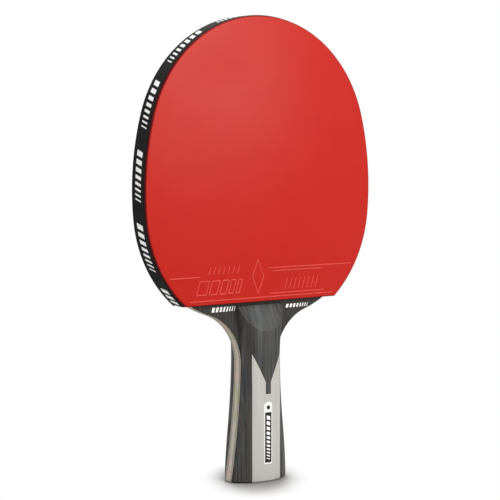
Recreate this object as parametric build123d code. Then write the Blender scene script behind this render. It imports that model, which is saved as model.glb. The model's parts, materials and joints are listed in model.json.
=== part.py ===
from build123d import *
import math
import os

# Table tennis paddle, standing on the end of its handle.
# Frame: X across the blade, Y through its thickness with the forehand face
# towards -Y, Z up along the handle. The origin is the centre of the handle end.
# All sizes are in millimetres and all angles in degrees.

# Head outline, shared by the blade and both rubbers
head_width = 151.0
widest_height = 160.3
side_radius = 152.0
upper_side_turn = 15.6
lower_side_turn = 5.6

# Cheeks: the blade is cut in a little tighter than the rubbers that lie on it
blade_cheek_radius = 61.5
rubber_cheek_radius = 70.0
rubber_cheek_turn = 42.4
neck_radius = 29.0

# Plies of the blade, from the middle outwards
core_thickness = 2.5
inner_ply_thickness = 0.8
fibre_thickness = 0.25
outer_ply_thickness = 0.7

# Rubbers
sponge_thickness = 2.2
sheet_thickness = 0.8
pimple_height = 0.9
pimple_width = 1.3
pimple_pitch = 2.2
pimple_row_depth = 1.6
rubber_to_handle_gap = 2.0

# Edge tape
tape_width = 10.0
tape_thickness = 0.4

# Handle
handle_length = 97.0
handle_thickness = 24.0
handle_end_width = 37.6
handle_waist_width = 24.4
handle_top_width = 31.0
flare_radius = 410.0
palm_radius = 24.0
side_flat = 0.3
end_chamfer = 0.8
ramp_length = 13.9
ramp_lip = 1.6

# Centre strip of the handle: dark tongue above, pale inlay below
strip_width = 18.9
tongue_shoulder_height = 71.0
tongue_stem_top_height = 55.3
tongue_stem_end_height = 48.6
tongue_stem_width = 3.5

# Badge let into the forehand inlay
badge_width = 5.3
badge_bottom_height = 10.0
badge_top_height = 44.3
badge_dome = 1.5
badge_thickness = 0.4

# Layers measured from the middle plane of the blade outwards
core_face = core_thickness / 2
inner_ply_face = core_face + inner_ply_thickness
fibre_face = inner_ply_face + fibre_thickness
blade_face = fibre_face + outer_ply_thickness
sponge_face = blade_face + sponge_thickness
pimple_face = sponge_face + pimple_height
rubber_face = pimple_face + sheet_thickness
handle_face = handle_thickness / 2

rubber_bottom = handle_length + rubber_to_handle_gap

# Longer than the whole paddle, for shapes that cut right across it
beyond = 2 * (widest_height + head_width)


def layer(outline, inner, outer):
    """Solid with an outline drawn in X and Z, between two distances towards the forehand."""
    return extrude(Plane.XZ.offset(inner) * outline, amount=outer - inner)


def opposite(shape):
    """The same piece on the backhand side."""
    return mirror(shape, about=Plane.XZ)


def across(line):
    """The same line on the left of the paddle."""
    return mirror(line, about=Plane.YZ)


def right_side(turn, heading):
    """Side arc of the head, from its widest place up (heading 1) or down (heading -1)."""
    return JernArc((head_width / 2, widest_height), (0, heading), side_radius, heading * turn)


def crown():
    """Top of the head, from the right side arc over to the left one."""
    side = right_side(upper_side_turn, 1)
    start = side @ 1
    return side + TangentArc(start, (-start.X, start.Y), tangent=side % 1) + across(side)


def neck_points():
    """Where the cheek arc meets the neck arc, and where the neck arc ends at the waist."""
    side = right_side(lower_side_turn, -1)
    cheek_centre = side @ 1 + (side % 1).rotate(Axis.Z, -90) * blade_cheek_radius
    reach = blade_cheek_radius + neck_radius
    neck_x = handle_waist_width / 2 + neck_radius
    waist_height = cheek_centre.Y - math.sqrt(reach ** 2 - (neck_x - cheek_centre.X) ** 2)
    to_neck = Vector(neck_x, waist_height) - cheek_centre
    meeting = cheek_centre + to_neck.normalized() * blade_cheek_radius
    return meeting, Vector(handle_waist_width / 2, waist_height)


def flare():
    """Right side of the handle from the waist down to the end, curving outwards."""
    waist = neck_points()[1]
    end = Vector(handle_end_width / 2, 0)
    half_chord = (end - waist).length / 2
    sag = flare_radius - math.sqrt(flare_radius ** 2 - half_chord ** 2)
    inward = Vector(-(waist.Y - end.Y), waist.X - end.X).normalized()
    return ThreePointArc(waist, (waist + end) / 2 + inward * sag, end)


def blade_outline():
    """Head, neck and handle core of the blade as one face."""
    side = right_side(lower_side_turn, -1)
    meeting, waist = neck_points()
    cheek = TangentArc(side @ 1, meeting, tangent=side % 1)
    neck = TangentArc(meeting, waist, tangent=cheek % 1)
    right = side + cheek + neck + flare()
    end = Line((-handle_end_width / 2, 0), (handle_end_width / 2, 0))
    face = make_face(crown() + right + across(right) + end)
    corners = face.vertices().group_by(Axis.Y)[0]
    return chamfer(corners, end_chamfer)


def rubber_outline():
    """Head outline carried on down, then cut straight across above the handle."""
    side = right_side(lower_side_turn, -1)
    cheek = JernArc(side @ 1, side % 1, rubber_cheek_radius, -rubber_cheek_turn)
    slope = cheek % 1
    chin = Line(cheek @ 1, (cheek @ 1) - slope * ((cheek @ 1).X / slope.X))
    right = side + cheek + chin
    return make_face(crown() + right + across(right)) & above_rubber_bottom()


def above_rubber_bottom():
    """Everything above the straight lower edge of the rubbers."""
    return Pos(0, rubber_bottom) * Rectangle(beyond, beyond, align=(Align.CENTER, Align.MIN))


def handle_outline():
    """Waisted and flared outline of a handle scale."""
    side = flare()
    top = Vector(handle_top_width / 2, handle_length)
    shoulder = TangentArc(side @ 0, top, tangent=side % 0 * -1)
    right = side + shoulder
    lid = Line(top, (-top.X, top.Y))
    end = Line((-handle_end_width / 2, 0), (handle_end_width / 2, 0))
    return make_face(right + across(right) + lid + end)


def topsheet():
    """Rubber sheet with its pimples turned in, which show along the straight lower edge."""
    sheet = layer(rubber_outline(), sponge_face, rubber_face)
    edge_width = rubber_outline().edges().sort_by(Axis.Y)[0].length
    gap_width = pimple_pitch - pimple_width
    count = int((edge_width - gap_width) / pimple_pitch)
    gap = layer(Rectangle(gap_width, 2 * pimple_row_depth), sponge_face, pimple_face)
    row = GridLocations(pimple_pitch, 0, count, 1)
    return sheet - [Pos(0, 0, rubber_bottom) * place * gap for place in row]


def edge_tape():
    """Band around the head, over the blade edge and most of both sponges."""
    rubber = rubber_outline()
    band = (offset(rubber, tape_thickness) - rubber) & above_rubber_bottom()
    return layer(band, -tape_width / 2, tape_width / 2)


def palm_dome():
    """Long cylinder whose side is the gently domed face that lies in the palm."""
    centre = Pos(0, palm_radius - handle_face)
    return extrude(centre * Circle(palm_radius), handle_length)


def handle_scale():
    """Whole forehand scale before it is parted into its strips."""
    block = layer(handle_outline(), blade_face, handle_face)
    outer = block.faces().sort_by(Axis.Y)[0]
    long_edges = outer.edges().filter_by(GeomType.LINE, reverse=True)
    block = fillet(long_edges, handle_face - blade_face - side_flat) & palm_dome()
    end = block.faces().sort_by(Axis.Z)[0]
    on_blade = end.edges().sort_by(Axis.Y)[-1]
    block = chamfer([edge for edge in end.edges() if not edge.is_same(on_blade)], end_chamfer)
    return block - ramp()


def ramp():
    """Wedge taken off the top of a scale, down to a thin lip at the blade."""
    lip = -(blade_face + ramp_lip)
    foot = handle_length - ramp_length
    wedge = Polyline(
        (lip, handle_length),
        (-handle_face, foot),
        (-handle_thickness, foot),
        (-handle_thickness, 2 * handle_length),
        close=True,
    )
    profile = Plane.YZ * make_face(wedge)
    return extrude(profile, amount=beyond, both=True)


def strip_zone():
    """Straight strip down the middle of a scale."""
    return Rectangle(strip_width, 2 * handle_length)


def tongue_zone():
    """Dark part of the centre strip: a V that ends in a narrow stem."""
    shoulder = strip_width / 2
    stem = tongue_stem_width / 2
    right = [
        (shoulder, handle_length),
        (shoulder, tongue_shoulder_height),
        (stem, tongue_stem_top_height),
        (stem, tongue_stem_end_height),
    ]
    left = [(-x, z) for x, z in reversed(right)]
    return make_face(Polyline(*right, *left, close=True))


def badge_outline():
    """Narrow upright plate with a domed top."""
    side = badge_width / 2
    shoulder = badge_top_height - badge_dome
    right = Line((side, badge_bottom_height), (side, shoulder))
    dome = ThreePointArc((side, shoulder), (0, badge_top_height), (-side, shoulder))
    left = Line((-side, shoulder), (-side, badge_bottom_height))
    foot = Line((-side, badge_bottom_height), (side, badge_bottom_height))
    return make_face(right + dome + left + foot)


def badge_zone():
    """Recess of the badge, open to the front."""
    return layer(badge_outline(), handle_face - badge_thickness, handle_thickness)


def scale_pieces():
    """Strips, tongue and inlay that a scale is laminated from."""
    scale = handle_scale()
    centre = scale & layer(strip_zone(), 0, handle_face)
    sides = (scale - centre).solids().sort_by(Axis.X)
    tongue = centre & layer(tongue_zone(), 0, handle_face)
    return {
        "left_strip": sides[0],
        "right_strip": sides[-1],
        "tongue": tongue,
        "inlay": centre - tongue,
    }


def blade_plies():
    """Core, then inner ply, fibre and outer ply of the forehand half."""
    outline = blade_outline()
    return {
        "core_ply": layer(outline, -core_face, core_face),
        "inner_ply": layer(outline, core_face, inner_ply_face),
        "carbon_ply": layer(outline, inner_ply_face, fibre_face),
        "outer_ply": layer(outline, fibre_face, blade_face),
    }


def paddle():
    """Every piece of the paddle by name."""
    plies = blade_plies()
    pieces = {"core_ply": plies.pop("core_ply"), "edge_tape": edge_tape()}
    paired = {"sponge": layer(rubber_outline(), blade_face, sponge_face), "topsheet": topsheet()}
    paired.update(plies)
    for name, piece in paired.items():
        pieces["forehand_" + name] = piece
        pieces["backhand_" + name] = opposite(piece)
    for name, piece in scale_pieces().items():
        pieces["forehand_handle_" + name] = piece
        pieces["backhand_handle_" + name] = opposite(piece)
    pieces["badge"] = pieces["forehand_handle_inlay"] & badge_zone()
    pieces["forehand_handle_inlay"] -= badge_zone()
    return pieces


os.makedirs("parts", exist_ok=True)
for name, piece in paddle().items():
    export_step(piece, "parts/" + name + ".step")
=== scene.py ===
import json
import math
import bmesh
import bpy
from mathutils import Matrix, Vector
from mathutils.bvhtree import BVHTree


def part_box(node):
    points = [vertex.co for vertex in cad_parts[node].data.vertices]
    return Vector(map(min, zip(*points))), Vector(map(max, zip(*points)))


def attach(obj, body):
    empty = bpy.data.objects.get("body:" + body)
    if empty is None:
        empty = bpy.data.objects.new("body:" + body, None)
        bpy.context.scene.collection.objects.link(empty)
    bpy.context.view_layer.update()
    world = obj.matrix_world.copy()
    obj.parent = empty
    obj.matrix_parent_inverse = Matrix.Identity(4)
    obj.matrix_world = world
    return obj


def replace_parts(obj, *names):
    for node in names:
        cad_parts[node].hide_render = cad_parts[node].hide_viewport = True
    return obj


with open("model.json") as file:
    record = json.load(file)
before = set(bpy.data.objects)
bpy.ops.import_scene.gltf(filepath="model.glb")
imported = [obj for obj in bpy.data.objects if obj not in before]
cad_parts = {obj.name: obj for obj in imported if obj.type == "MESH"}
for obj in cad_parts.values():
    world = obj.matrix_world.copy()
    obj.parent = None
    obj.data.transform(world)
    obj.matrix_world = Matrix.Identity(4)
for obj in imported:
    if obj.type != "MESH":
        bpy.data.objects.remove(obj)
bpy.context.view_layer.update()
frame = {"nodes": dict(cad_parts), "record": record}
nodes = frame["nodes"]
mm = 0.001
noiseLow, noiseHigh = 0.3, 0.7  # noise seldom leaves these, so finishes are spread between them
print("frame loaded:", len(nodes), "nodes")


def linear(hexColour):  # sRGB hex to the linear values that shaders take
    channels = [int(hexColour[i:i + 2], 16) / 255 for i in (1, 3, 5)]
    return [c / 12.92 if c <= 0.04045 else ((c + 0.055) / 1.055) ** 2.4 for c in channels] + [1]


def newMaterial(name):
    material = bpy.data.materials.new(name)
    material.use_nodes = True
    material.node_tree.nodes.clear()
    return material


def addNode(material, kind, settings=None, inputs=None):  # an input is a value or another node's output
    node = material.node_tree.nodes.new(kind)
    for name, value in (settings or {}).items():
        setattr(node, name, value)
    for name, value in (inputs or {}).items():
        if isinstance(value, bpy.types.NodeSocket):
            material.node_tree.links.new(value, node.inputs[name])
        else:
            node.inputs[name].default_value = value
    return node


def blendColours(material, factor, colours, low=noiseLow, high=noiseHigh):  # hex colours, spread evenly
    ramp = addNode(material, "ShaderNodeValToRGB", inputs={"Fac": factor})
    elements = ramp.color_ramp.elements
    while len(elements) < len(colours):
        elements.new(0.5)
    for i, colour in enumerate(colours):
        elements[i].position = low + (high - low) * i / (len(colours) - 1)
        elements[i].color = linear(colour)
    return ramp.outputs["Color"]


def darkened(material, colour, shadow):  # the colour times a shadow tint: white leaves it as it is
    mixed = addNode(material, "ShaderNodeMix", {"data_type": "RGBA", "blend_type": "MULTIPLY"}, {
        "Factor": 1.0, 6: colour, 7: shadow})  # 6, 7 and output 2 are its colour sockets
    return mixed.outputs[2]


def patternPlace(material, size, space="Object"):  # coordinates that count in steps of that size, in mm
    coords = addNode(material, "ShaderNodeTexCoord")
    mapping = addNode(material, "ShaderNodeMapping", inputs={
        "Vector": coords.outputs[space], "Scale": [1 / (step * mm) for step in size]})
    return mapping.outputs["Vector"]


def stretchedNoise(material, size, detail=2.0, roughness=0.5):  # size: of its blobs along X, Y and Z, in mm
    noise = addNode(material, "ShaderNodeTexNoise", inputs={
        "Vector": patternPlace(material, size), "Scale": 1.0, "Detail": detail, "Roughness": roughness})
    return noise.outputs["Fac"]


def wornRoughness(material, factor, atLow, atHigh):  # roughness that drifts with the noise
    drift = addNode(material, "ShaderNodeMapRange", inputs={
        "Value": factor, "From Min": noiseLow, "From Max": noiseHigh, "To Min": atLow, "To Max": atHigh})
    return drift.outputs["Result"]


def shade(material, bump=None, depth=0.0, **sockets):  # principled shader, with a bump of that depth in mm
    inputs = {name.replace("_", " "): value for name, value in sockets.items()}
    if bump:
        relief = addNode(material, "ShaderNodeBump", inputs={
            "Height": bump, "Distance": depth * mm, "Strength": 1.0})
        inputs["Normal"] = relief.outputs["Normal"]
    shader = addNode(material, "ShaderNodeBsdfPrincipled", inputs=inputs)
    addNode(material, "ShaderNodeOutputMaterial", inputs={"Surface": shader.outputs["BSDF"]})
    return material


def rubberFace(name, look):  # vulcanised natural rubber, moulded smooth: a soft satin sheen, faintly mottled
    sheet = {"mottleSize": 16, "grainSize": 0.35, "grainDepth": 0.004, "touchedSize": 30, "glossier": 0.04,
             "duller": 0.05}
    material = newMaterial(name)
    mottle = stretchedNoise(material, [sheet["mottleSize"]] * 3, detail=4)
    colour = blendColours(material, mottle, look["tints"])
    grain = stretchedNoise(material, [sheet["grainSize"]] * 3)
    touched = stretchedNoise(material, [sheet["touchedSize"]] * 3, detail=5)  # where it was wiped and held
    roughness = wornRoughness(material, touched, look["roughness"] - sheet["glossier"],
                              look["roughness"] + sheet["duller"])
    return shade(material, bump=grain, depth=sheet["grainDepth"], Base_Color=colour, Roughness=roughness,
                 IOR=1.52, Specular_IOR_Level=look["sheen"])


def rubberEdgeShade(name, dark, light):  # knife-cut or rolled edge of a sheet: matt, with fine drag lines, and given darker colours as painted shade
    drag = {"length": 6.0, "height": 0.25, "depth": 0.03}
    material = newMaterial(name)
    lines = stretchedNoise(material, (drag["length"], drag["height"], drag["length"]), detail=3)
    colour = blendColours(material, lines, (dark, light))
    return shade(material, bump=lines, depth=drag["depth"], Base_Color=colour, Roughness=0.75, IOR=1.52,
                 Specular_IOR_Level=0.08)


def spongeFoam():  # closed-cell rubber sponge, sliced: matt, with fine open cells on the cut edge
    cells = {"size": 0.28, "depth": 0.05}
    material = newMaterial("charcoalSponge")
    coords = addNode(material, "ShaderNodeTexCoord")
    voronoi = addNode(material, "ShaderNodeTexVoronoi", inputs={
        "Vector": coords.outputs["Object"], "Scale": 1 / (cells["size"] * mm)})
    distance = voronoi.outputs["Distance"]
    colour = blendColours(material, distance, ("#0F0F0F", "#1C1B1B", "#262525"), low=0, high=1)
    return shade(material, bump=distance, depth=cells["depth"], Base_Color=colour, Roughness=0.9, IOR=1.5,
                 Specular_IOR_Level=0.1)


def clothTape():  # woven tape with a foam back: matt charcoal, a fine plain weave along and across it
    weave = {"pitch": 0.6, "depth": 0.02, "patch": 7}  # coarser than the real thread, so that it shows
    material = newMaterial("charcoalClothTape")
    threads = addNode(material, "ShaderNodeTexChecker", inputs={
        "Vector": patternPlace(material, [weave["pitch"]] * 3, "UV"), "Scale": 1.0,
        "Color1": linear("#FFFFFF"), "Color2": linear("#B8B8B8")})
    patches = stretchedNoise(material, [weave["patch"]] * 3, detail=3)
    faded = blendColours(material, patches, ("#222222", "#2B2B2B"))
    colour = darkened(material, faded, threads.outputs["Color"])
    return shade(material, bump=threads.outputs["Fac"], depth=weave["depth"], Base_Color=colour,
                 Roughness=0.7, IOR=1.48, Specular_IOR_Level=0.04)


def printInk(name, colour, worn):  # screen-printed ink: nearly flat, a little thin where it has rubbed
    rubbedSize = 0.8
    material = newMaterial(name)
    wear = stretchedNoise(material, [rubbedSize] * 3, detail=3)
    ink = blendColours(material, wear, (worn, colour), low=0.25, high=0.5)
    return shade(material, Base_Color=ink, Roughness=0.5, IOR=1.5, Specular_IOR_Level=0.3)


def grainedWood(name, look):  # sliced veneer or milled strip: streaks along Z, broad bands, fine pores
    grain = {"poreWidth": 0.16, "poreLength": 3.0, "duller": 0.06, "glossier": 0.04}
    material = newMaterial(name)
    bands = stretchedNoise(material, look["band"], detail=3, roughness=0.6)
    streaks = stretchedNoise(material, look["streak"], detail=4, roughness=0.65)
    poreSize = (grain["poreWidth"], grain["poreWidth"], grain["poreLength"])
    pores = stretchedNoise(material, poreSize, roughness=0.7)
    tint = blendColours(material, bands, look["tints"], low=0.32, high=0.68)
    dark = blendColours(material, streaks, (look["shadow"], "#FFFFFF"))
    roughness = wornRoughness(material, streaks, look["roughness"] + grain["duller"],
                              look["roughness"] - grain["glossier"])
    colour = darkened(material, tint, dark)
    return shade(material, bump=pores, depth=look["poreDepth"], Base_Color=colour, Roughness=roughness,
                 IOR=1.5, Specular_IOR_Level=look["sheen"])


def carbonWeave():  # carbon fibre in resin: plain weave of thin tows, near black
    tow = {"width": 1.2, "depth": 0.01}
    material = newMaterial("carbonWeave")
    tows = addNode(material, "ShaderNodeTexChecker", inputs={
        "Vector": patternPlace(material, [tow["width"]] * 3), "Scale": 1.0,
        "Color1": linear("#2B2927"), "Color2": linear("#171615")})
    return shade(material, bump=tows.outputs["Fac"], depth=tow["depth"], Base_Color=tows.outputs["Color"],
                 Roughness=0.45, IOR=1.54)


# shadow is the tint of the streaks; band and streak are sizes in mm along X, Y and Z; poreDepth is in mm
redFace = {"tints": ("#B21709", "#B51A0B", "#B3180A"), "roughness": 0.34, "sheen": 0.18}
# the raised tints are paler than the face tints: a painted highlight on the moulded ridges
redRaisedHighlight = {"tints": ("#C8342B", "#CE3C33", "#CB382F"), "roughness": 0.36, "sheen": 0.35}
blackFace = {"tints": ("#111112", "#151516", "#18181A"), "roughness": 0.42, "sheen": 0.25}
blackRaisedHighlight = {"tints": ("#222223", "#282829", "#252526"), "roughness": 0.4, "sheen": 0.4}
gripStain = {"tints": ("#4D4F4F", "#57524E", "#515354", "#5B5755", "#4F4F4E"), "shadow": "#848484",
             "band": (2.4, 14, 70), "streak": (0.75, 8, 50), "roughness": 0.5, "poreDepth": 0.02,
             "sheen": 0.1}
tongueStain = {"tints": ("#434749", "#4E4B48", "#4A4D4E", "#5A5A5B", "#484846"), "shadow": "#747474",
               "band": (2.2, 14, 70), "streak": (0.7, 10, 50), "roughness": 0.45, "poreDepth": 0.02,
               "sheen": 0.2}
paintedLightRampStain = {"tints": ("#525859", "#5A5A5A", "#585E5E", "#676A6A", "#565959"), "shadow": "#808080",
             "band": (2.2, 14, 70), "streak": (0.7, 12, 50), "roughness": 0.45, "poreDepth": 0.02,
             "sheen": 0.2}
faceStain = {"tints": ("#3A3836", "#413E3B", "#3C3C3B"), "shadow": "#B8B8B8", "band": (6, 6, 60),
             "streak": (0.9, 0.9, 40), "roughness": 0.5, "poreDepth": 0.02, "sheen": 0.18}
silverStain = {"tints": ("#BAB9B7", "#BFBDB8", "#B9B7B4", "#BEBDBC"), "shadow": "#EFEFEE",
               "band": (3, 12, 80), "streak": (0.7, 6, 60), "roughness": 0.45, "poreDepth": 0.012,
               "sheen": 0.4}
veneerEdge = {"tints": ("#C0BCB4", "#D8C2B5", "#C5C1B3", "#C3C2A1", "#D3C2B4"), "shadow": "#B0ADA6",
              "band": (30, 30, 22), "streak": (0.3, 0.3, 18), "roughness": 0.6, "poreDepth": 0.03,
              "sheen": 0.3}
coreEdge = {"tints": ("#CCC8C0", "#E2CEC2", "#D1CDC0", "#CFCEAF", "#DECEC0"), "shadow": "#C6C3BC",
            "band": (30, 30, 22), "streak": (0.45, 0.45, 14), "roughness": 0.65, "poreDepth": 0.04,
            "sheen": 0.3}

finishes = {
    "red_rubber": rubberFace("redRubber", redFace),
    "black_rubber": rubberFace("blackRubber", blackFace),
    "sponge": spongeFoam(),
    "edge_tape": clothTape(),
    "stained_veneer": grainedWood("stainedVeneer", faceStain),
    "inner_veneer": grainedWood("innerVeneer", veneerEdge),
    "carbon_fibre": carbonWeave(),
    "core_wood": grainedWood("coreWood", coreEdge),
    "stained_wood": grainedWood("stainedGripWood", gripStain),
    "silver_wood": grainedWood("silverStainedWood", silverStain),
    "badge": printInk("badgeWhite", "#F0F0EE", "#E6E6E4"),
}
cutEdges = {  # what shows on the cut edge of a piece whose face is stained or moulded: bare wood for the veneer, and for the rubbers darker colours that are painted shade
    "red_rubber": rubberEdgeShade("redRubberCut", "#3E1112", "#5A191A"),
    "black_rubber": rubberEdgeShade("blackRubberCut", "#070707", "#101010"),
    "stained_veneer": finishes["inner_veneer"],
}
rimShadeFaces = {  # the moulded edge of a sheet's face rolls over; its darker colours are painted shade
    "red_rubber": rubberEdgeShade("redRubberRim", "#7C1611", "#8E1A14"),
    "black_rubber": rubberEdgeShade("blackRubberRim", "#0A0A0A", "#131313"),
}
tongueWood = grainedWood("stainedTongueWood", tongueStain)
paintedLightRampWood = grainedWood("sandedRampWood", paintedLightRampStain)  # painted light: paler tints on the ramp, which faces up, stand in for the light from above
raisedHighlightFaces = {  # the moulded lines stand up; their paler tints are a painted highlight where they catch the light, and they are shinier than the sheet
    "red_rubber": rubberFace("redRubberRaised", redRaisedHighlight),
    "black_rubber": rubberFace("blackRubberRaised", blackRaisedHighlight),
}
whiteInk = printInk("whiteInk", "#FFFFFE", "#F0F0EE")
blackInk = printInk("blackInk", "#080808", "#151515")
print("materials")


def addPiece(name, bm, materials):
    mesh = bpy.data.meshes.new(name)
    bm.to_mesh(mesh)
    bm.free()
    for material in materials:
        mesh.materials.append(material)
    piece = bpy.data.objects.new(name, mesh)
    bpy.context.scene.collection.objects.link(piece)
    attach(piece, "root")
    return piece


# angles in degrees, weld and sheetRim in mm: sheetRim rounds the edge round a sheet's playing face
smoothing = {"sharpAngle": 32, "flatAngle": 0.1, "weld": 0.001, "sheetRim": 0.55}
facing = {"straight": 0.9, "mostly": 0.5, "barely": 0.3}  # how far a normal points along an axis, out of 1


def isRim(edge, outward):  # edge between a flat outer face and a side
    faces = edge.link_faces
    return len(faces) == 2 and sum(face.normal.y * outward > facing["straight"] for face in faces) == 1


def smoothPiece(node, slot):  # the node's shape, with curves shaded smooth and rims rounded; cut edges show bare wood on a veneer and painted shade on a rubber sheet, rims painted shade, and the tongue's ramp painted light
    bm = bmesh.new()
    bm.from_mesh(nodes[node].data)
    bmesh.ops.remove_doubles(bm, verts=bm.verts, dist=smoothing["weld"] * mm)
    bmesh.ops.dissolve_limit(bm, angle_limit=math.radians(smoothing["flatAngle"]), verts=bm.verts,
                             edges=bm.edges)
    outward = 1 if node.startswith("backhand") else -1
    for face in bm.faces:
        face.smooth = True
        # a rubber sheet's sideways faces get its cut edge's painted shade; a veneer's sideways faces show
        # bare wood
        face.material_index = 1 if slot in cutEdges and abs(face.normal.y) < facing["barely"] else 0
    materials = [finishes[slot]] + ([cutEdges[slot]] if slot in cutEdges else [])
    if node.endswith("topsheet"):
        rim = [edge for edge in bm.edges if isRim(edge, outward)]
        rounded = bmesh.ops.bevel(bm, geom=rim, offset=smoothing["sheetRim"] * mm, segments=3, profile=0.5,
                                  affect="EDGES", material=-1)
        for face in rounded["faces"]:
            # the rim's front-facing faces take the rim's painted shade, its sideways faces the cut edge's
            # painted shade
            face.material_index = 2 if abs(face.normal.y) > facing["mostly"] else 1
        materials.append(rimShadeFaces[slot])
    if node.endswith("tongue"):
        for face in bm.faces:
            # faces that slope up take the ramp's painted light
            sloping = face.normal.z > facing["barely"] and abs(face.normal.y) > facing["mostly"]
            face.material_index = 1 if sloping else 0
        materials = [tongueWood, paintedLightRampWood]
    for edge in bm.edges:
        edge.smooth = edge.calc_face_angle(math.pi) < math.radians(smoothing["sharpAngle"])
    words = node.split("_")
    name = words[0] + "".join(word.title() for word in words[1:]) + "Piece"
    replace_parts(addPiece(name, bm, materials), node)


for part in frame["record"]["subparts"]:
    node, slot = part["node"], part["material_slot"]
    nodes[node].data.materials.clear()
    nodes[node].data.materials.append(finishes[slot])
    if node != "edge_tape":
        smoothPiece(node, slot)
print("rubbers, plies, handle pieces and badge")

# degrees and mm: the head's outline, from its widest place up and down
head = {"halfWidth": 75.5, "widestHeight": 160.3, "sideRadius": 152.0, "turnUp": 15.6, "turnDown": 5.6,
        "cheekRadius": 70.0, "cheekTurn": 42.4}


def headRoute():  # lengths and radii in mm of half the head's outline, from the lowest corner to the top
    cheek = math.radians(head["cheekTurn"])
    down = math.radians(head["turnDown"])
    up = math.radians(head["turnUp"])
    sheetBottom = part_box("forehand_sponge")[0][2] / mm
    sideX = head["halfWidth"] - head["sideRadius"] * (1 - math.cos(down))
    sideZ = head["widestHeight"] - head["sideRadius"] * math.sin(down)
    lean = down + cheek
    cheekX = sideX - head["cheekRadius"] * (math.cos(down) - math.cos(lean))
    cheekZ = sideZ - head["cheekRadius"] * (math.sin(lean) - math.sin(down))
    chin = (cheekZ - sheetBottom) / math.cos(lean)
    shoulderX = head["halfWidth"] - head["sideRadius"] * (1 - math.cos(up))
    crownRadius = shoulderX / math.cos(up)
    start = Vector((cheekX - chin * math.sin(lean), sheetBottom))
    half = [(chin, 0), (head["cheekRadius"] * cheek, head["cheekRadius"]),
            (head["sideRadius"] * (down + up), head["sideRadius"]),
            (crownRadius * (math.pi / 2 - up), crownRadius)]
    return start, math.pi / 2 - lean, half


routeStart, routeHeading, halfRoute = headRoute()
fullRoute = halfRoute + halfRoute[::-1]
routeLength = sum(length for length, radius in fullRoute)


def alongHead(distance):  # place on the outline, X along it, Y through the blade and Z outwards, all in mm
    spot, heading = routeStart.copy(), routeHeading
    for length, radius in fullRoute:
        step = min(distance, length)
        turn = step / radius if radius else 0
        chord = 2 * radius * math.sin(turn / 2) if radius else step
        middle = heading + turn / 2
        spot += chord * Vector((math.cos(middle), math.sin(middle)))
        heading += turn
        distance -= step
        if distance <= 0:
            break
    ahead = Vector((math.cos(heading), 0, math.sin(heading)))
    outward = Vector((math.sin(heading), 0, -math.cos(heading)))
    through = outward.cross(ahead)
    turned = Matrix((ahead, through, outward)).transposed().to_4x4()
    return Matrix.Translation((spot.x, 0, spot.y)) @ turned


def wrapRoundHead(bm):  # bends a flat strip round the head, and keeps its flat layout as its UV map
    layout = bm.loops.layers.uv.new("layout")
    for face in bm.faces:
        for loop in face.loops:
            loop[layout].uv = loop.vert.co.xy * mm
    for vert in bm.verts:
        place = alongHead(max(vert.co.x, 0))
        vert.co = place @ Vector((0, vert.co.y, vert.co.z)) * mm
    bmesh.ops.recalc_face_normals(bm, faces=bm.faces)


# bars and gap keep their proportions and are scaled to a mark's length; slant is a share of its height
mark = {"bars": (3.4, 3.0, 2.6, 2.2, 1.8, 1.4, 1.1, 0.8), "gap": 2.0, "slant": 0.3}


def barSpans(length, bars):  # start and width of each bar of a row, in mm
    scale = length / (sum(bars) + mark["gap"] * (len(bars) - 1))
    spans, start = [], 0
    for bar in bars:
        spans.append((start, bar * scale))
        start += (bar + mark["gap"]) * scale
    return spans


def addMark(bm, place, length, height, thickness, bars=mark["bars"]):  # centred row of slanted bars, in mm
    lean = mark["slant"] * height
    for start, width in barSpans(length - lean, bars):
        cube = bmesh.ops.create_cube(bm, size=1)
        x = start + (width + lean - length) / 2
        fit = Matrix(((width, lean, 0, x), (0, height, 0, 0), (0, 0, thickness, 0), (0, 0, 0, 1)))
        bmesh.ops.transform(bm, matrix=place @ fit, verts=cube["verts"])


# mm; steps is how many straight pieces follow the head, and markPhase is one mark's middle along the tape
tape = {"width": 10.5, "thickness": 0.3, "steps": 260, "edge": 0.08, "markLength": 27.5, "markHeight": 5.3,
        "markPitch": 38.2, "markPhase": 64.0, "ink": 0.06, "longEdge": 1.5}


def edgeTape():
    bm = bmesh.new()
    band = bmesh.ops.create_grid(bm, x_segments=tape["steps"], y_segments=1, size=0.5)
    size = Matrix.Diagonal((routeLength, tape["width"], 1, 1))
    bmesh.ops.transform(bm, matrix=Matrix.Translation((routeLength / 2, 0, 0)) @ size, verts=band["verts"])
    top = bmesh.ops.extrude_face_region(bm, geom=bm.faces[:])
    raised = [v for v in top["geom"] if isinstance(v, bmesh.types.BMVert)]
    bmesh.ops.translate(bm, vec=(0, 0, tape["thickness"]), verts=raised)
    bmesh.ops.recalc_face_normals(bm, faces=bm.faces)
    rims = [e for e in bm.edges if e.calc_face_angle() > 1]
    bmesh.ops.bevel(bm, geom=rims, offset=tape["edge"], segments=2, profile=0.5, affect="EDGES",
                    material=-1)
    wrapRoundHead(bm)
    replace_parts(addPiece("edgeTapeBand", bm, [finishes["edge_tape"]]), "edge_tape")


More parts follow.
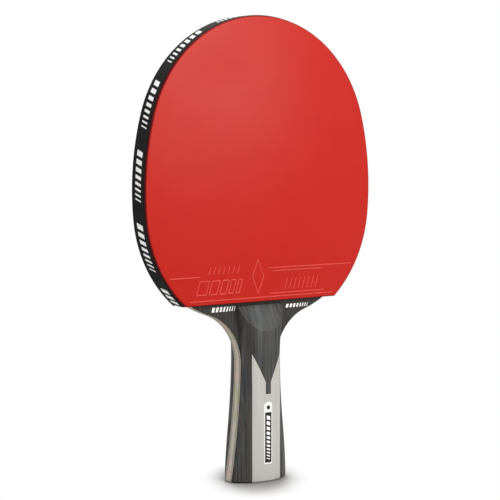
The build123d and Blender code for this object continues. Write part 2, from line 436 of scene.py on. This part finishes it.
def tapeMarks():
    bm = bmesh.new()
    count = int(routeLength / tape["markPitch"]) + 2
    for i in range(count):
        centre = tape["markPhase"] + (i - 1) * tape["markPitch"]
        place = Matrix.Translation((centre, 0, tape["thickness"]))
        addMark(bm, place, tape["markLength"], tape["markHeight"], tape["ink"])
    long = [e for e in bm.edges if abs(e.verts[0].co.x - e.verts[1].co.x) > tape["longEdge"]]
    bmesh.ops.subdivide_edges(bm, edges=long, cuts=3, use_grid_fill=True)  # so that they bend well
    for limit, side in ((0, -1), (routeLength, 1)):  # marks are cut where the tape ends
        bmesh.ops.bisect_plane(bm, geom=bm.verts[:] + bm.edges[:] + bm.faces[:], plane_co=(limit, 0, 0),
                               plane_no=(side, 0, 0), clear_outer=True)
        bmesh.ops.holes_fill(bm, edges=bm.edges[:])
    wrapRoundHead(bm)
    addPiece("edgeTapeMarks", bm, [whiteInk])


edgeTape()
tapeMarks()
print("edge tape")

emboss = {  # mm, with places measured from the middle of the sheet's lower edge
    "width": 0.66, "height": 0.32, "soft": 0.25,
    "lines": (((-60.8, 15.4), (-41.6, 15.4)), ((4.1, 18.2), (62.0, 18.2)), ((7.0, 16.5), (41.0, 16.5)),
              ((5.0, 4.2), (42.2, 4.2)), ((-48.0, 2.4), (48.0, 2.4))),
    "diamond": ((-3.4, 4.6), (0.4, 13.9), (-3.4, 23.2), (-7.2, 13.9)),
    "bars": (6.4, 5.2, 4.0, 3.0, 2.2), "barRow": (-44.0, 5.8, 30.0, 7.2),  # left, bottom, length, height
    "strokeRows": ((-36.0, 16.6, 20.0, 3.6, 7), (15.0, 6.2, 23.0, 5.6, 8)),  # the same, and how many
}


def addRidge(bm, place, start, end):  # moulded ridge between two points of the sheet's face, in mm
    start, end = Vector(start), Vector(end)
    run = end - start
    middle = Matrix.Translation(((start + end) / 2).to_3d())
    turn = Matrix.Rotation(math.atan2(run.y, run.x), 4, "Z")
    size = Matrix.Diagonal((run.length + emboss["width"], emboss["width"], 2 * emboss["height"], 1))
    cube = bmesh.ops.create_cube(bm, size=1)
    bmesh.ops.transform(bm, matrix=place @ middle @ turn @ size, verts=cube["verts"])


def addLoop(bm, place, corners):  # closed outline of ridges
    for start, end in zip(corners, corners[1:] + corners[:1]):
        addRidge(bm, place, start, end)


def addBarOutlines(bm, place, left, bottom, length, height):  # row of slanted bars, as moulded outlines
    lean = mark["slant"] * height
    for start, width in barSpans(length - lean, emboss["bars"]):
        x = left + start
        addLoop(bm, place, [(x, bottom), (x + width, bottom), (x + width + lean, bottom + height),
                            (x + lean, bottom + height)])


def addStrokes(bm, place, left, bottom, length, height, count):  # row of single slanted ridges
    lean = mark["slant"] * height
    for i in range(count):
        x = left + (length - lean) * i / (count - 1)
        addRidge(bm, place, (x, bottom), (x + lean, bottom + height))


def moulding(name, side, finish):  # lines, bars and a diamond, moulded on the sheet above its lower edge
    low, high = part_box(side + "_topsheet")
    y = low[1] if side == "forehand" else high[1]
    across = 1 if side == "forehand" else -1
    place = Matrix(((across, 0, 0, 0), (0, 0, -across, y / mm), (0, 1, 0, low[2] / mm), (0, 0, 0, 1)))
    bm = bmesh.new()
    for start, end in emboss["lines"]:
        addRidge(bm, place, start, end)
    addBarOutlines(bm, place, *emboss["barRow"])
    for row in emboss["strokeRows"]:
        addStrokes(bm, place, *row)
    addLoop(bm, place, emboss["diamond"])
    bmesh.ops.scale(bm, vec=(mm, mm, mm), verts=bm.verts)
    bmesh.ops.bevel(bm, geom=bm.edges[:], offset=emboss["soft"] * mm, segments=2, profile=0.5,
                    affect="EDGES", material=-1)
    bmesh.ops.recalc_face_normals(bm, faces=bm.faces)
    # the ridges take the paler raised finish, a painted highlight
    addPiece(name, bm, [raisedHighlightFaces[finish]])


moulding("forehandMoulding", "forehand", "red_rubber")
moulding("backhandMoulding", "backhand", "black_rubber")
print("moulding on the sheets")

prints = {  # mm
    "ink": 0.05, "longEdge": 1.0,
    "neckRows": ((-23.6, 3.1, 15.9, 2.6), (26.4, 3.9, 15.6, 2.0)),  # middle, drop below the sheet, size
    "panel": (4.3, 27.8), "panelBottom": 10.7, "spotRadius": 1.15, "spotHeight": 41.2,
    "badgeMark": (24.6, 2.2), "badgeBars": (4.2, 3.8, 3.4, 3.0, 2.6, 2.3, 2.0, 1.7, 1.4, 1.2, 1.0),
}


def layOnFront(bm, node):  # moves a flat print, drawn in metres on Y 0, back on to a node's front face
    target = bmesh.new()
    target.from_mesh(nodes[node].data)
    surface = BVHTree.FromBMesh(target)
    target.free()
    for vert in bm.verts:
        ahead = Vector((vert.co.x, -1, vert.co.z))  # a metre in front
        spot = surface.ray_cast(ahead, Vector((0, 1, 0)))[0]
        vert.co.y += spot.y
    bmesh.ops.recalc_face_normals(bm, faces=bm.faces)


def onFront(x, height):  # place of a print drawn in mm on X and Y, thick along Z
    return Matrix(((mm, 0, 0, x * mm), (0, 0, -mm, 0), (0, mm, 0, height * mm), (0, 0, 0, 1)))


def neckMarks():
    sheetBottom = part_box("forehand_topsheet")[0][2] / mm
    bm = bmesh.new()
    for x, drop, length, height in prints["neckRows"]:
        addMark(bm, onFront(x, sheetBottom - drop), length, height, 2 * prints["ink"])
    layOnFront(bm, "forehand_outer_ply")
    addPiece("neckMarks", bm, [whiteInk])


def badgePanel():  # dark panel on the badge, with a plain spot above it
    width, height = prints["panel"]
    bm = bmesh.new()
    panel = bmesh.ops.create_grid(bm, x_segments=6, y_segments=12, size=0.5)
    bmesh.ops.transform(bm, matrix=Matrix.Diagonal((width, height, 1, 1)), verts=panel["verts"])
    bmesh.ops.transform(bm, matrix=onFront(0, prints["panelBottom"] + height / 2), verts=panel["verts"])
    spot = bmesh.ops.create_circle(bm, cap_ends=True, segments=32, radius=prints["spotRadius"])
    bmesh.ops.transform(bm, matrix=onFront(0, prints["spotHeight"]), verts=spot["verts"])
    raised = bmesh.ops.extrude_face_region(bm, geom=bm.faces[:])
    front = [v for v in raised["geom"] if isinstance(v, bmesh.types.BMVert)]
    bmesh.ops.translate(bm, vec=(0, -prints["ink"] * mm, 0), verts=front)
    layOnFront(bm, "badge")
    addPiece("badgePanel", bm, [blackInk])


def badgeMark():
    length, height = prints["badgeMark"]
    middle = prints["panelBottom"] + prints["panel"][1] / 2
    thickness = 4 * prints["ink"]  # half of it stands out, past the panel's own ink
    bm = bmesh.new()
    addMark(bm, Matrix.Rotation(-math.pi / 2, 4, "Z"), length, height, thickness, prints["badgeBars"])
    long = [e for e in bm.edges if e.calc_length() > prints["longEdge"]]
    bmesh.ops.subdivide_edges(bm, edges=long, cuts=3, use_grid_fill=True)
    bmesh.ops.transform(bm, matrix=onFront(0, middle), verts=bm.verts)
    layOnFront(bm, "badge")
    addPiece("badgeMark", bm, [whiteInk])


neckMarks()
badgePanel()
badgeMark()
print("printed marks")

# metres: the seen floor gets painted shade close under the paddle, darker where ambient occlusion finds it
# within cornerReach, and turns white from fadeFrom to fadeTo; bounced dims the light that it throws back on
# to the paddle
floorLook = {"size": 8.0, "shaded": "#707070", "colour": "#CCCCCC", "bounced": "#E6E6E6",
             "cornerReach": 0.07, "cornerSamples": 12, "fadeFrom": 0.013, "fadeTo": 0.031,
             "fadeTurn": math.radians(-36), "fadeStretch": 1.75}
surround = {"light": 0.49, "seen": 1.0}
lampTarget = (0, 0, 0.15)
softBoxes = {  # place and size in metres, power in watts, and colour
    "keyLight": ((0.42, -0.95, 0.5), (0.6, 0.6), 6.3, "#FFFAF0"),
    "sideLight": ((-1.05, -0.9, 0.6), (0.5, 0.5), 5.6, "#FFFFFF"),
    "topLight": ((0.0, -0.6, 1.4), (0.8, 0.8), 7.0, "#FFFFFF"),
    "backLight": ((0.5, 0.75, 1.3), (0.5, 0.5), 15.0, "#FFFFFF"),
}


def directlySeen(material):  # 1 where the camera looks, straight or by a mirror or through glass
    rays = addNode(material, "ShaderNodeLightPath")
    total = rays.outputs["Is Camera Ray"]
    for kind in ("Is Glossy Ray", "Is Transmission Ray"):
        total = addNode(material, "ShaderNodeMath", {"operation": "ADD", "use_clamp": True}, {
            0: total, 1: rays.outputs[kind]}).outputs["Value"]
    return total


def studioFloor():  # pale floor that keeps the paddle's shadow, with painted shade added close under it, and melts into the background further out
    bm = bmesh.new()
    bmesh.ops.create_grid(bm, x_segments=1, y_segments=1, size=floorLook["size"])
    mesh = bpy.data.meshes.new("floor")
    bm.to_mesh(mesh)
    bm.free()
    floor = bpy.data.objects.new("floor", mesh)
    bpy.context.scene.collection.objects.link(floor)
    material = newMaterial("paleFloor")
    seen = directlySeen(material)
    # painted shade: the floor's colour darkens towards the shaded colour where ambient occlusion finds the
    # paddle close
    corner = addNode(material, "ShaderNodeAmbientOcclusion", {"samples": floorLook["cornerSamples"]}, {
        "Distance": floorLook["cornerReach"]})
    openness = corner.outputs["AO"]
    tone = blendColours(material, openness, (floorLook["shaded"], floorLook["colour"]), low=0.5, high=1)
    bounce = blendColours(material, seen, (floorLook["bounced"], "#FFFFFF"), low=0, high=1)
    near = addNode(material, "ShaderNodeBsdfDiffuse", inputs={"Color": darkened(material, tone, bounce)})
    white = addNode(material, "ShaderNodeEmission", inputs={"Strength": surround["seen"]})
    coords = addNode(material, "ShaderNodeTexCoord")
    along = addNode(material, "ShaderNodeMapping", {"vector_type": "TEXTURE"}, {
        "Vector": coords.outputs["Object"], "Rotation": (0, 0, floorLook["fadeTurn"]),
        "Scale": (1, floorLook["fadeStretch"], 1)})
    distance = addNode(material, "ShaderNodeVectorMath", {"operation": "LENGTH"}, {
        0: along.outputs["Vector"]})
    fade = addNode(material, "ShaderNodeMapRange", {"interpolation_type": "SMOOTHSTEP"}, {
        "Value": distance.outputs["Value"], "From Min": floorLook["fadeFrom"],
        "From Max": floorLook["fadeTo"]})
    far = addNode(material, "ShaderNodeMath", {"operation": "MULTIPLY"}, {
        0: fade.outputs["Result"], 1: seen})
    mix = addNode(material, "ShaderNodeMixShader", inputs={
        0: far.outputs["Value"], 1: near.outputs["BSDF"], 2: white.outputs["Emission"]})
    addNode(material, "ShaderNodeOutputMaterial", inputs={"Surface": mix.outputs["Shader"]})
    mesh.materials.append(material)


def studioWorld():  # even pale surround, pure white where it is seen
    world = bpy.data.worlds.new("studio")
    world.use_nodes = True
    bpy.context.scene.world = world
    world.node_tree.nodes.clear()
    strength = addNode(world, "ShaderNodeMapRange", inputs={
        "Value": directlySeen(world), "To Min": surround["light"], "To Max": surround["seen"]})
    background = addNode(world, "ShaderNodeBackground", inputs={
        "Color": linear("#FFFFFF"), "Strength": strength.outputs["Result"]})
    addNode(world, "ShaderNodeOutputWorld", inputs={"Surface": background.outputs["Background"]})


def softBox(name, place, size, power, colour):
    lamp = bpy.data.lights.new(name, "AREA")
    lamp.color = linear(colour)[:3]
    lamp.shape = "RECTANGLE"
    lamp.size, lamp.size_y = size
    lamp.energy = power
    holder = bpy.data.objects.new(name, lamp)
    holder.location = place
    holder.rotation_euler = (Vector(lampTarget) - Vector(place)).to_track_quat("-Z", "Y").to_euler()
    bpy.context.scene.collection.objects.link(holder)


studioFloor()
studioWorld()
for name, settings in softBoxes.items():
    softBox(name, *settings)

# degrees and mm, apart from nearest, in metres
view = {"azimuth": -36.14, "elevation": 4.24, "distance": 876.0, "target": (-3.7, 0, 127.0), "focal": 115.1,
        "sensor": 36, "nearest": 0.01}
azimuth, elevation = math.radians(view["azimuth"]), math.radians(view["elevation"])
back = Vector((math.sin(azimuth) * math.cos(elevation), -math.cos(azimuth) * math.cos(elevation),
               math.sin(elevation)))
lens = bpy.data.cameras.new("camera")
lens.lens = view["focal"]
lens.sensor_width = view["sensor"]
lens.clip_start = view["nearest"]
camera = bpy.data.objects.new("camera", lens)
camera.location = (Vector(view["target"]) + back * view["distance"]) * mm
camera.rotation_euler = (-back).to_track_quat("-Z", "Y").to_euler()
bpy.context.scene.collection.objects.link(camera)
bpy.context.scene.camera = camera
bpy.context.scene.view_settings.view_transform = "Standard"
print("studio and camera")
